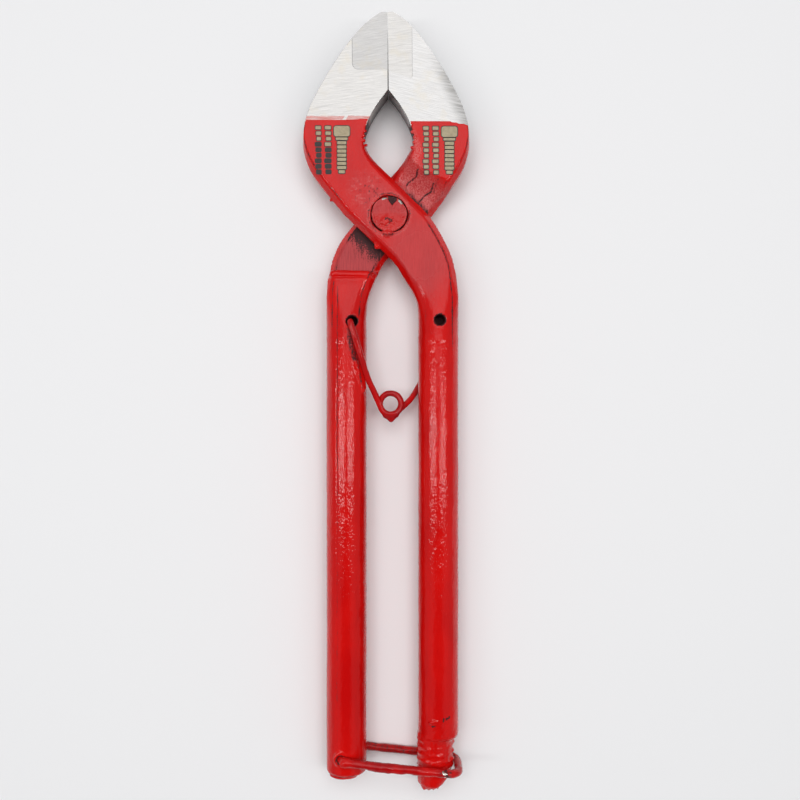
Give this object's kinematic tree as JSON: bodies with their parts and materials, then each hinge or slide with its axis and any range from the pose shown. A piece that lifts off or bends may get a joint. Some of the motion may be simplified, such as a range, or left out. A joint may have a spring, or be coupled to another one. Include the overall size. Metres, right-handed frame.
{
  "type": "bolt cutters",
  "caption": "Hand bolt cutters: half-lapped levers on a rivet, brazed cutting blades, a coiled wire return spring and a swinging wire bail that holds the handles shut.",
  "frame": {"origin": "on the rivet's axis, in the plane of the flat rear faces of the jaws", "axes": "+Y along the tool towards the cutting tips, +Z out of the front face, +X towards the right jaw"},
  "size_m": [0.066, 0.3081, 0.024],
  "materials": {
    "painted_steel": "thick glossy red dip paint, lumpy, with worn and dirty patches",
    "bare_steel": "ground and brushed across the jaws",
    "painted_rivet": "red paint, wrinkled, with a bare rim",
    "painted_wire": "glossy red dip paint with drips and chips",
    "printed_label": "printed khaki and black emblem, partly rubbed"
  },
  "bodies": {
    "rear_lever": {"rear_lever": "painted_steel", "rear_blade": "bare_steel", "pivot_rivet": "painted_rivet", "rear_label": "printed_label"},
    "front_lever": {"front_lever": "painted_steel", "front_blade": "bare_steel", "front_label": "printed_label"},
    "bail": {"bail": "painted_wire"},
    "spring_front": {"spring_front_arm": "painted_wire"},
    "spring_rear": {"spring_rear_arm": "painted_wire"}
  },
  "joints": [
    {"name": "jaw_pivot", "type": "hinge", "parent": "rear_lever", "child": "front_lever", "pos_m": [0, 0, 0.006], "axis": [0, 0, 1], "range_deg": [0, 20]},
    {"name": "bail_swing", "type": "hinge", "parent": "rear_lever", "child": "bail", "pos_m": [-0.019, -0.2138, 0.006], "axis": [0, 0, 1], "range_deg": [-200.5, 0]},
    {"name": "spring_hook", "type": "hinge", "parent": "rear_lever", "child": "spring_front", "pos_m": [-0.0152, -0.0423, 0.016], "axis": [0, 0, 1], "range_deg": [0, 26]},
    {"name": "spring_coil", "type": "hinge", "parent": "spring_front", "child": "spring_rear", "pos_m": [0.0005, -0.0745, 0.006], "axis": [0, 0, 1], "range_deg": [-27, 0]}
  ],
  "couplings": [
    {"joint": "bail_swing", "follows": "jaw_pivot", "ratio": -10},
    {"joint": "spring_hook", "follows": "jaw_pivot", "ratio": 1.273},
    {"joint": "spring_coil", "follows": "jaw_pivot", "ratio": -1.323}
  ]
}
